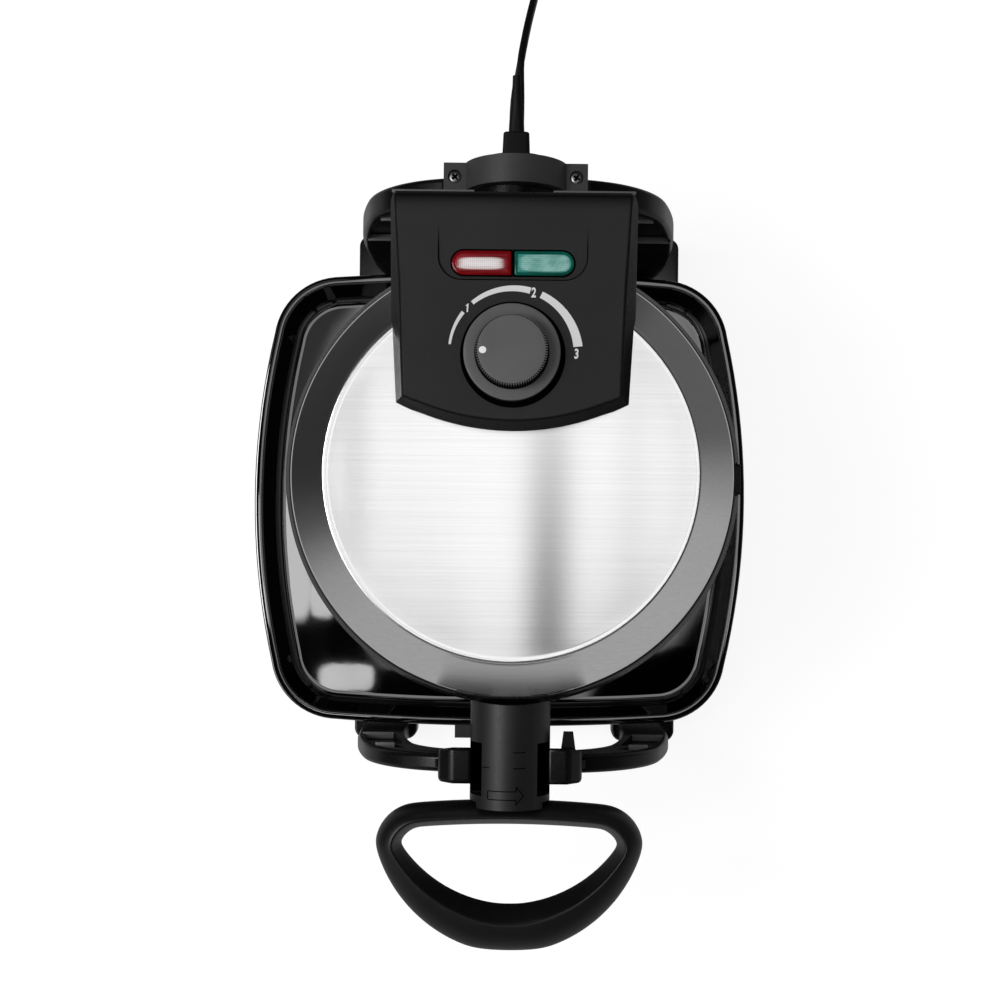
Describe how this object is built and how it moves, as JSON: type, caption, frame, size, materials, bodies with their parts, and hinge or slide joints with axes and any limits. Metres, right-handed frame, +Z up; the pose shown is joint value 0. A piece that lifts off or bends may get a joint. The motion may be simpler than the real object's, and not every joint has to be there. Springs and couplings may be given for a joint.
{
  "type": "rotating waffle maker",
  "caption": "Round brushed-steel waffle maker that flips over in a black two-arch stand, with hinged lid, browning dial, pilot lamps, D-shaped handle and slide-out drip tray.",
  "frame": {"origin": "on the counter, under the centre of the round head, in the plane of the flip axis", "axes": "+Z up, +Y towards the cord and lid hinge, -Y towards the handle, +X to the right as seen from the handle side looking at the lid"},
  "size_m": [0.2648, 0.6283, 0.2218],
  "materials": {
    "brushed_steel": "brushed",
    "black_moulding": "satin",
    "gloss_black": "gloss",
    "grip_black": "matte",
    "nonstick": "non-stick coated",
    "heater_tube": "oxidised",
    "sheet_aluminium": "mill",
    "dark_screw": "blackened",
    "steel_pin": "satin",
    "foot_rubber": "matte",
    "cord_rubber": "matte",
    "plug_black": "matte",
    "blade_brass": "satin",
    "red_lens": "clear tinted",
    "green_lens": "clear tinted",
    "white_mark": "matte",
    "inner_plastic": "matte"
  },
  "bodies": {
    "stand": {"front_arch": "gloss_black", "rear_arch": "gloss_black", "rear_bearing_cap": "black_moulding", "left_cap_screw": "dark_screw", "right_cap_screw": "dark_screw", "left_rail": "gloss_black", "right_rail": "gloss_black", "front_left_foot": "foot_rubber", "front_right_foot": "foot_rubber", "rear_left_foot": "foot_rubber", "rear_right_foot": "foot_rubber", "cord_gland": "black_moulding", "power_cord": "cord_rubber", "cord_coil": "cord_rubber", "power_plug": "plug_black", "plug_blades": "blade_brass"},
    "tray": {"drip_tray": "gloss_black"},
    "head": {"lower_cover": "brushed_steel", "lower_bezel": "black_moulding", "lower_grid_plate": "nonstick", "lower_heating_element": "heater_tube", "lower_heat_shield": "sheet_aluminium", "lower_neck": "black_moulding", "handle_grip": "grip_black", "rear_yoke": "black_moulding"},
    "lid": {"lid_cover": "brushed_steel", "upper_bezel": "black_moulding", "upper_grid_plate": "nonstick", "upper_heating_element": "heater_tube", "upper_heat_shield": "sheet_aluminium", "upper_neck": "black_moulding", "control_housing": "black_moulding", "hinge_pin": "steel_pin", "thermostat": "inner_plastic", "lamp_holder": "inner_plastic", "red_lens": "red_lens", "green_lens": "green_lens"},
    "dial": {"browning_dial": "grip_black", "dial_marker": "white_mark"},
    "upper_catch": {"upper_release_button": "black_moulding"},
    "lower_catch": {"lower_release_button": "black_moulding"}
  },
  "joints": [
    {"name": "flip", "type": "hinge", "parent": "stand", "child": "head", "pos_m": [0, 0, 0.15], "axis": [0, 1, 0], "range_deg": [0, 180]},
    {"name": "lid_open", "type": "hinge", "parent": "head", "child": "lid", "pos_m": [0, 0.106, 0.186], "axis": [1, 0, 0], "range_deg": [-95, 0]},
    {"name": "dial_turn", "type": "hinge", "parent": "lid", "child": "dial", "pos_m": [0, 0.0487, 0.21], "axis": [0, 0, 1], "range_deg": [-180, 0]},
    {"name": "tray_slide", "type": "slide", "parent": "stand", "child": "tray", "axis": [-1, 0, 0], "range_m": [-0.009, 0.28]},
    {"name": "upper_release", "type": "slide", "parent": "lid", "child": "upper_catch", "axis": [-1, 0, 0], "range_m": [0, 0.0025], "stiffness_N_per_m": 600},
    {"name": "lower_release", "type": "slide", "parent": "head", "child": "lower_catch", "axis": [1, 0, 0], "range_m": [0, 0.0025], "stiffness_N_per_m": 600}
  ]
}
